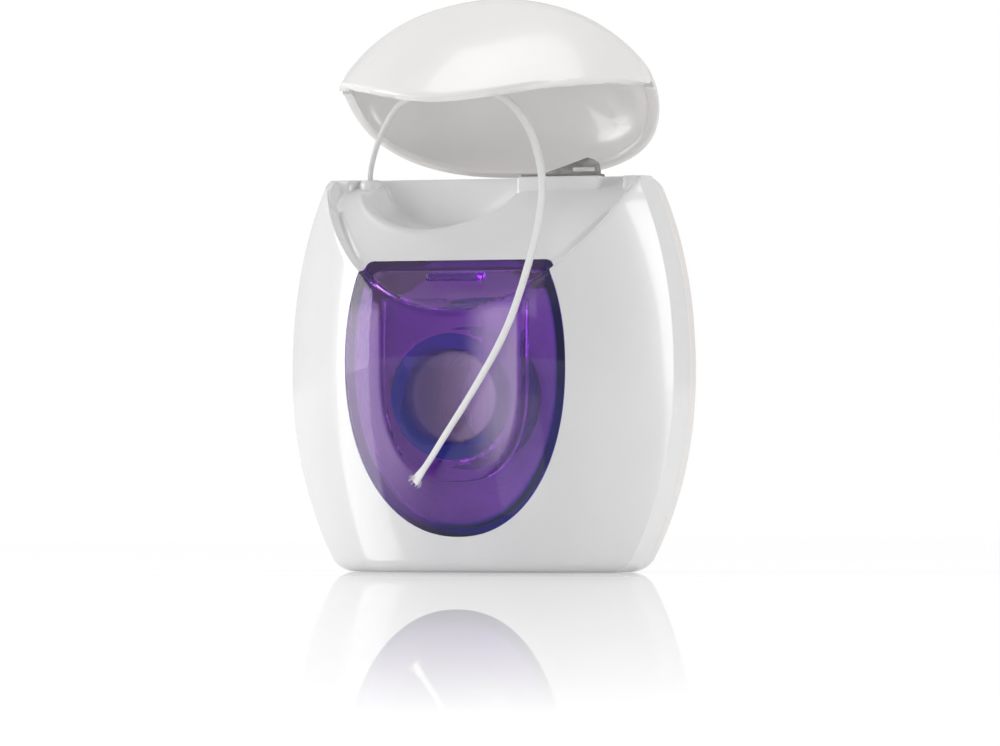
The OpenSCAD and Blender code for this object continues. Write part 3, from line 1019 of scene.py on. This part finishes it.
def paneEdgeShade(paint):
    # Painted shade: deep navy along the right and lower edge, where the pane's thick edge is seen
    # edge-on
    s = windowForm
    x, z = paint.axis(0), paint.axis(2) - s["z"] * mm
    across, up = (x / (s["half"] * mm)).size(), (z / (s["reach"] * mm)).size()
    edge = (across ** s["pow"] + up ** s["pow"]).ramp(0.81, 0.88)
    return edge * (x * 0.8 - z * 0.35).ramp(0.0005, 0.0055)


purpleWindow = purplePaint(
    "purpleWindow", (210, 520, 50), (0.99, 0.95, 1.0, 1), (0.93, 0.86, 0.98, 1),
    paintedReflection=paintedPaneReflection, rim=paneEdgeShade)
purpleTongue = purplePaint(
    "purpleTongue", (120, 320, 40), (0.99, 0.93, 1.0, 1), (0.93, 0.84, 0.98, 1))
# Painted shade: the spindle tube gets a darker, less clear copy of the window's plastic, standing
# in for the long light path through its thick wall seen end-on
shadedTubePurple = purplePaint(
    "shadedTubePurple", (300, 300, 80), (0.025, 0.05, 0.36, 1), (0.012, 0.03, 0.24, 1), clear=0.3)


def window():
    s = windowForm
    obj = piece(bodySolid(), "windowPane", purpleWindow)
    combined(obj, windowPrism(s["gap"], -14, s["back"]), "INTERSECT")
    inner = piece(hollowSolid(s["thick"], form["band"]), "inner", purpleWindow)
    combined(inner, windowPrism(s["gap"] + s["thick"], -14, s["back"] + 1), "INTERSECT")
    combined(obj, meshOf(inner), "DIFFERENCE")
    combined(obj, block(*s["catch"], s["catchSoft"]), "UNION")
    shaded(obj, 32)
    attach(obj, "body")
    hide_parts("window")


window()


spindleForm = {
    "r": 7.0, "bore": 5.3, "end": 9.8, "gap": 0.03, "collar": (-2.8, -1.8), "collarR": 7.9,
}


def spindle():
    # The tube that the spool turns on, with its collar, standing off the window's inside
    s, z = spindleForm, spoolAxis
    y0 = frontMid(z) + windowForm["thick"] + s["gap"]
    obj = piece(disc(0, y0, s["end"], z, s["r"]), "spindleTube", shadedTubePurple)
    combined(obj, disc(0, *s["collar"], z, s["collarR"]), "UNION")
    combined(obj, disc(0, y0 - 1, s["end"] + 1.2, z, s["bore"]), "DIFFERENCE")
    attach(obj, "body")
    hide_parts("window")


spindle()


def tongue():
    # The U-shaped inner plate behind the window, with a hole for the spindle
    s = tongueForm
    reach = s["turn"] - s["low"]
    right = [(s["half"], s["top"])]
    for i in range(s["steps"] + 1):
        drop = math.sin(math.pi / 2 * i / s["steps"])
        right.append((s["half"] * bend(drop, s["pow"]), s["turn"] - reach * drop))
    outline = right + [(-x, z) for x, z in reversed(right[:-1])]
    skin = windowForm["thick"] + s["gap"]
    obj = piece(hollowSolid(skin, form["band"]), "windowTongue", purpleTongue)
    combined(obj, prism([[(x, y, z) for x, z in outline] for y in (-12, -5)]), "INTERSECT")
    combined(obj, hollowSolid(skin + s["thick"], form["band"] + 1), "DIFFERENCE")
    combined(obj, disc(0, -12, 0, spoolAxis, spindleForm["r"] + s["gap"]), "DIFFERENCE")
    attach(obj, "body")
    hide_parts("window")


tongue()
print("window")

# The lid, one profile per slice, turned open about the hinge line
lidForm = {
    "slices": 96, "front": 26, "crown": 40, "gap": 0.3, "wall": 1.1, "thin": 0.06, "tip": 0.992,
    "crestZ": 50.8, "crestY": -7.1, "tipY": -0.8, "plan": 3, "pow": 1.38, "rise": 0.272,
    "lead": 0.35, "open": 47.5, "sliver": 0.03,
}


def lidProfile(s):
    f = lidForm
    x = tipX * s
    q = solved(lambda v: v * halfWidth(rimAt(v)) > abs(x), 0.0, 1.0)
    zr = f["gap"] + rimAt(q)
    a = Vector((frontY(x, zr), zr))
    crease = Vector((
        f["tipY"] + (f["crestY"] - f["tipY"]) * (1 - abs(s) ** f["plan"]),
        tipZ + f["gap"] + (f["crestZ"] - tipZ - f["gap"]) * bend(abs(s), f["pow"]),
    ))
    c = Vector((max(crease[0], a[0] + f["sliver"]), max(crease[1], zr + f["sliver"])))
    slope = frontY(x, zr + 0.5) - frontY(x, zr - 0.5)
    k = a + f["lead"] * (c[1] - a[1]) * Vector((slope, 1))
    yb = max(arcY(x), c[0] + 2 * f["sliver"])
    b = Vector((yb, partZ(yb) + f["gap"]))
    v = b - c
    up = f["rise"] * v.length
    normal = Vector((-v[1], v[0])).normalized()
    made = []
    for i in range(f["front"] + 1):
        t = i / f["front"]
        made.append((1 - t) ** 2 * a + 2 * t * (1 - t) * k + t * t * c)
    for i in range(1, f["crown"] + 1):
        t = math.pi * i / f["crown"]
        made.append(c + v * (1 - math.cos(t)) / 2 + normal * up * math.sin(t))
    return made


def drawnIn(p, d):
    n = len(p) - 1
    made = []
    for i in range(n + 1):
        t = (p[min(i + 1, n)] - p[max(i - 1, 0)]).normalized()
        if i == 0:
            made.append(p[0] + Vector((d, 0)))
        elif i == n:
            made.append(p[n] - Vector((d, 0)))
        else:
            made.append(Vector((p[i][0] + d * t[1], max(p[i][1] - d * t[0], p[0][1]))))
    return made


def opened(x, y, z):
    a = math.radians(lidForm["open"])
    c, s = math.cos(a), math.sin(a)
    dy, dz = y - hingeY, z - hingeZ
    return (x, hingeY + dy * c + dz * s, hingeZ + dz * c - dy * s)


def lid():
    f = lidForm
    n = f["slices"]
    rings = []
    for i in range(n + 1):
        s = math.sin(math.pi / 2 * f["tip"] * (2 * i / n - 1))
        p = lidProfile(s)
        d = min(f["wall"], f["thin"] * (p[-1][0] - p[0][0]))
        outer = [(tipX * s, q[0], q[1]) for q in p]
        inner = [((tipX - f["wall"]) * s, q[0], q[1]) for q in drawnIn(p, d)]
        rings.append(outer + inner[::-1])
    m = len(rings[0])
    bm = gridMesh(n, m, lambda i, k: opened(*rings[i][k % m]))
    capped(bm, 0.002)
    softened(bm, creased(bm.verts, 0.25), 2)
    obj = piece(bm, "domedLid", litLidShell, 50)
    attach(obj, "lid")
    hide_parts("lid")


lid()
print("lid")


# The profile's points are (y, share of the height)
webForm = {
    "half": 5.2, "low": 44.4, "high": 44.66, "columns": 24,
    "profile": [(13.62, 0), (13.74, 0.5), (13.62, 1), (14.4, 1), (14.88, 1), (14.76, 0.5),
                (14.45, 0), (14.0, 0)],
}


def hingeWeb():
    # Thin at its fold, thicker where it joins the cover and the lid
    s = webForm
    z0, z1 = s["low"], s["high"]
    count = len(s["profile"])

    def place(i, k):
        y, share = s["profile"][k % count]
        return (s["half"] * (2 * i / s["columns"] - 1), y, z0 + (z1 - z0) * share)

    bm = gridMesh(s["columns"], count, place)
    obj = piece(capped(bm, 0.001), "hingeWeb", rearShell)
    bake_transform(obj)
    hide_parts("living_hinge")


hingeWeb()
print("hinge web")

cutterForm = {
    "x": 3.85, "y": 2.5, "z": 44.4, "wide": 9.1, "deep": 2.6, "steel": 0.3, "tab": 2.2,
    "shape": [(0.22, 0), (0.22, 0.24), (0.5, 0.61), (0.78, 1), (0.86, 0.9), (0.93, 0.72),
              (0.95, 0.3), (0.95, 0)],
    "slotStart": 0.58, "slotWide": 0.3, "slotLow": 0.65, "slotHigh": 1.1,
    "footIn": 1, "footLow": (-0.2, 3.2, 43.2), "footHigh": (0.2, 4.4, 44.5),
}


def cutter():
    s = cutterForm
    x0, z0 = s["x"], s["z"]
    x1, y1 = x0 + s["wide"], s["y"] + s["deep"]
    plate = block((x0, s["y"], z0), (x1, y1, z0 + s["steel"]), 0.06, 2)
    obj = piece(plate, "cutterPlate", cutterSteel)
    outline = [(x0 + u * s["wide"], z0 + w * s["tab"]) for u, w in s["shape"]]
    tab = prism([[(x, y, z) for x, z in outline] for y in (y1 - s["steel"], y1)])
    sides = [e for e in tab.edges if e.calc_face_angle(0) > 0.6
             and abs(e.verts[0].co.y - e.verts[1].co.y) < 1e-7]
    bmesh.ops.bevel(tab, geom=sides, offset=0.05 * mm, offset_type="OFFSET", segments=2,
                    profile=0.5, affect="EDGES", material=-1)
    combined(obj, tab, "UNION")
    left = x0 + s["slotStart"] * s["wide"]
    right = left + s["slotWide"] * s["wide"]
    slot = block((left, y1 - 1, z0 + s["slotLow"]), (right, y1 + 1, z0 + s["slotHigh"]), 0.1)
    combined(obj, slot, "DIFFERENCE")
    for x in (x0 + s["footIn"], x1 - s["footIn"]):
        low, high = (Vector(s[key]) + Vector((x, 0, 0)) for key in ("footLow", "footHigh"))
        combined(obj, block(low, high, 0.04, 2), "UNION")
    shaded(obj, 30)
    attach(obj, "body")
    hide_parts("cutter")


cutter()
print("cutter")

spoolForm = {"y": -1.6, "bore": 7.06, "core": 8.16, "flange": 14.68, "thick": 0.8, "width": 10}


def turned(profile):
    # A closed ring of (radius, y) points spun about the spool's axis
    return spun([(r, y, spoolAxis) for r, y in profile], (0, 0, spoolAxis), (0, 1, 0), 120)


def bobbin():
    s = spoolForm
    y0, t, w = s["y"], s["thick"], s["width"]
    y1 = y0 + 2 * t + w
    b, c, r = s["bore"], s["core"], s["flange"]
    profile = [
        (b + 0.12, y0), (c + 1.2, y0), (c + 1.5, y0 + 0.15), (r - 1.1, y0 + 0.15), (r - 0.9, y0),
        (r - 0.15, y0), (r, y0 + 0.15), (r, y0 + t - 0.15), (r - 0.15, y0 + t), (c + 0.3, y0 + t),
        (c, y0 + t + 0.3), (c, y1 - t - 0.3), (c + 0.3, y1 - t), (r - 0.15, y1 - t),
        (r, y1 - t + 0.15), (r, y1 - 0.15), (r - 0.15, y1), (r - 0.9, y1),
        (r - 1.1, y1 - 0.15), (c + 1.5, y1 - 0.15),
        (c + 1.2, y1), (b + 0.12, y1), (b, y1 - 0.12), (b, y0 + 0.12),
    ]
    obj = piece(turned(profile), "flangedSpool", spoolPlastic)
    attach(obj, "spool")
    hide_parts("bobbin")


bobbin()
print("bobbin")

# Each layer is (lift, turns, start angle, hand)
windForm = {
    "bore": 8.25, "core": 12.05, "start": -0.72, "end": 9.12, "edge": 0.3, "r": 12.42, "low": -0.2,
    "high": 8.9, "rings": 84, "wide": 0.42, "thick": 0.3, "sides": 10,
    "layers": [(0.0, 12, 0.0, 1), (0.3, 4, 1.1, -1)],
}


def woundFloss():
    s = windForm
    b, r, e, y0, y1 = s["bore"], s["core"], s["edge"], s["start"], s["end"]
    parts = [turned([(b, y0), (r - e, y0), (r, y0 + e), (r, y1 - e), (r - e, y1), (b, y1)])]
    for lift, turns, shift, hand in s["layers"]:
        path = []
        for i in range(turns * s["rings"] + 1):
            a = 2 * math.pi * i / s["rings"] * hand + shift
            y = s["low"] + (s["high"] - s["low"]) * (i / (turns * s["rings"]))
            y = min(y + 0.12 * math.sin(3 * a + shift), s["high"])
            r = s["r"] + lift
            path.append(Vector((r * math.cos(a), y, spoolAxis + r * math.sin(a))))
        parts.append(woundStrand(path, s["wide"], s["thick"], s["sides"]))
    bm = poured(bmesh.new(), parts)
    obj = piece(bm, "woundFloss", flossFibre)
    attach(obj, "spool")
    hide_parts("floss_pack", "floss_winding")


def woundStrand(path, wide, thick, sides):
    # Its flat side lies on the winding below
    n = len(path)

    def place(i, k):
        p = path[i]
        out = Vector((p.x, 0, p.z - spoolAxis)).normalized()
        a = 2 * math.pi * k / sides
        return p + Vector((0, 1, 0)) * wide * math.cos(a) + out * thick * math.sin(a)

    return capped(gridMesh(n - 1, sides, place, uv=True), 0.0005)


woundFloss()

runForm = {
    "route": [
        (-13.65, 0.1, 19.8), (-13.85, 0.1, 22.4), (-14.0, 0.3, 25), (-14.1, 1, 31),
        (-14.3, 2.4, 37), (-14.6, 3, 41), (-14.6, 3, 43.78),
    ],
    "steps": 10, "wide": 0.46, "thick": 0.26, "sides": 20, "side": (0, 1, 0), "twist": 0.5,
    "flutes": 9, "flute": 0.035,
}
runPath = catmull(runForm["route"], runForm["steps"])
runShape = [runForm[key] for key in ("wide", "thick", "sides", "side", "twist", "flutes", "flute")]
runPiece = piece(strand(runPath, *runShape), "flossRun", flossFibre)
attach(runPiece, "body")
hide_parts("floss_run")
print("floss inside")


# Floor: white, with a mirror image of the object that fades with the height of what it mirrors
floorForm = {
    "mirror": 0.6, "eye": 0.0105, "reach": 0.7, "fade": 0.0168, "pow": 1.25,
    "toEye": (0.35837, -0.93358),
}


def floorPaint():
    f = floorForm
    paint = Paint("floorPaint", Roughness=0.6, IOR=1.3, Emission_Strength=1.0)
    x, y = paint.axis(0), paint.axis(1)
    grain = paint.noise(6, 3, 0.5)
    away = (x * x + y * y).maths("SQRT").ramp(0.1, 1.2)
    glow = paint.mix(away, (0.6, 0.6, 0.6, 1), (0.95, 0.95, 0.95, 1))
    seen = paint.rays("Is Camera Ray").maths("MAXIMUM", paint.rays("Is Glossy Ray"))
    seen = seen.maths("MAXIMUM", paint.rays("Is Transmission Ray"))
    paint.set(
        Base_Color=paint.mix(grain, (0.4, 0.4, 0.4, 1), (0.42, 0.42, 0.42, 1)),
        Emission_Color=paint.mix(seen, (0.22, 0.22, 0.22, 1), glow),
    )
    near = (x * f["toEye"][0] + y * f["toEye"][1]).maths("MAXIMUM", 0.0)
    near = near.maths("MINIMUM", f["reach"] - 0.05)
    mirrored = near * f["eye"] / (f["reach"] - near)
    share = (1 - (mirrored / f["fade"]) ** f["pow"]).clamped() * f["mirror"]
    paint.under("BsdfGlossy", share, Roughness=0.0, Color=(1, 1, 1, 1))
    return paint.material


floorMesh = bmesh.new()
bmesh.ops.create_grid(floorMesh, x_segments=24, y_segments=24, size=3.0)
bmesh.ops.translate(floorMesh, verts=floorMesh.verts, vec=(0, 0, -floorDrop))
floorPiece = piece(floorMesh, "floor", floorPaint())

lightAim = (0, 0, 0.03)
lights = {
    "keyLeft": {"place": (-0.72, -0.3, 0.28), "size": (0.4, 0.6), "power": 3.7},
    "frontSoft": {"place": (0.05, -0.85, 0.3), "size": (0.4, 0.4), "power": 0.5},
    "topSoft": {"place": (0.0, 0.05, 0.75), "size": (0.6, 0.6), "power": 1.9},
    "rightStrip": {"place": (0.6, -0.03, 0.12), "size": (0.16, 0.5), "power": 1.6},
}
for name, s in lights.items():
    lamp = bpy.data.lights.new(name, "AREA")
    lamp.shape = "RECTANGLE"
    lamp.size, lamp.size_y = s["size"]
    lamp.energy = s["power"]
    lampObject = bpy.data.objects.new(name, lamp)
    lampObject.location = s["place"]
    lampObject.rotation_euler = aimed(s["place"], lightAim)
    bpy.context.scene.collection.objects.link(lampObject)

world = bpy.data.worlds.new("studio")
bpy.context.scene.world = world
world.use_nodes = True
worldTree = world.node_tree
worldTree.nodes.clear()
worldOut = worldTree.nodes.new("ShaderNodeOutputWorld")


def skyLight(strength):
    node = worldTree.nodes.new("ShaderNodeBackground")
    node.inputs["Color"].default_value = (1, 1, 1, 1)
    node.inputs["Strength"].default_value = strength
    return node


# Dim where it lights the object, half bright in its gloss, bright where the camera sees it
# directly, through the window or in the floor
soft, bright = skyLight(0.28), skyLight(1.0)
rays = worldTree.nodes.new("ShaderNodeLightPath")
dimmed = worldTree.nodes.new("ShaderNodeMath")
dimmed.operation = "MULTIPLY"
dimmed.inputs[1].default_value = 0.5
worldTree.links.new(rays.outputs["Is Glossy Ray"], dimmed.inputs[0])
share = dimmed.outputs[0]
for kind in ("Is Camera Ray", "Is Transmission Ray", "Is Singular Ray"):
    seen = worldTree.nodes.new("ShaderNodeMath")
    seen.operation = "MAXIMUM"
    worldTree.links.new(share, seen.inputs[0])
    worldTree.links.new(rays.outputs[kind], seen.inputs[1])
    share = seen.outputs[0]
worldMix = worldTree.nodes.new("ShaderNodeMixShader")
worldTree.links.new(share, worldMix.inputs[0])
worldTree.links.new(soft.outputs[0], worldMix.inputs[1])
worldTree.links.new(bright.outputs[0], worldMix.inputs[2])
worldTree.links.new(worldMix.outputs[0], worldOut.inputs["Surface"])
print("floor and light")
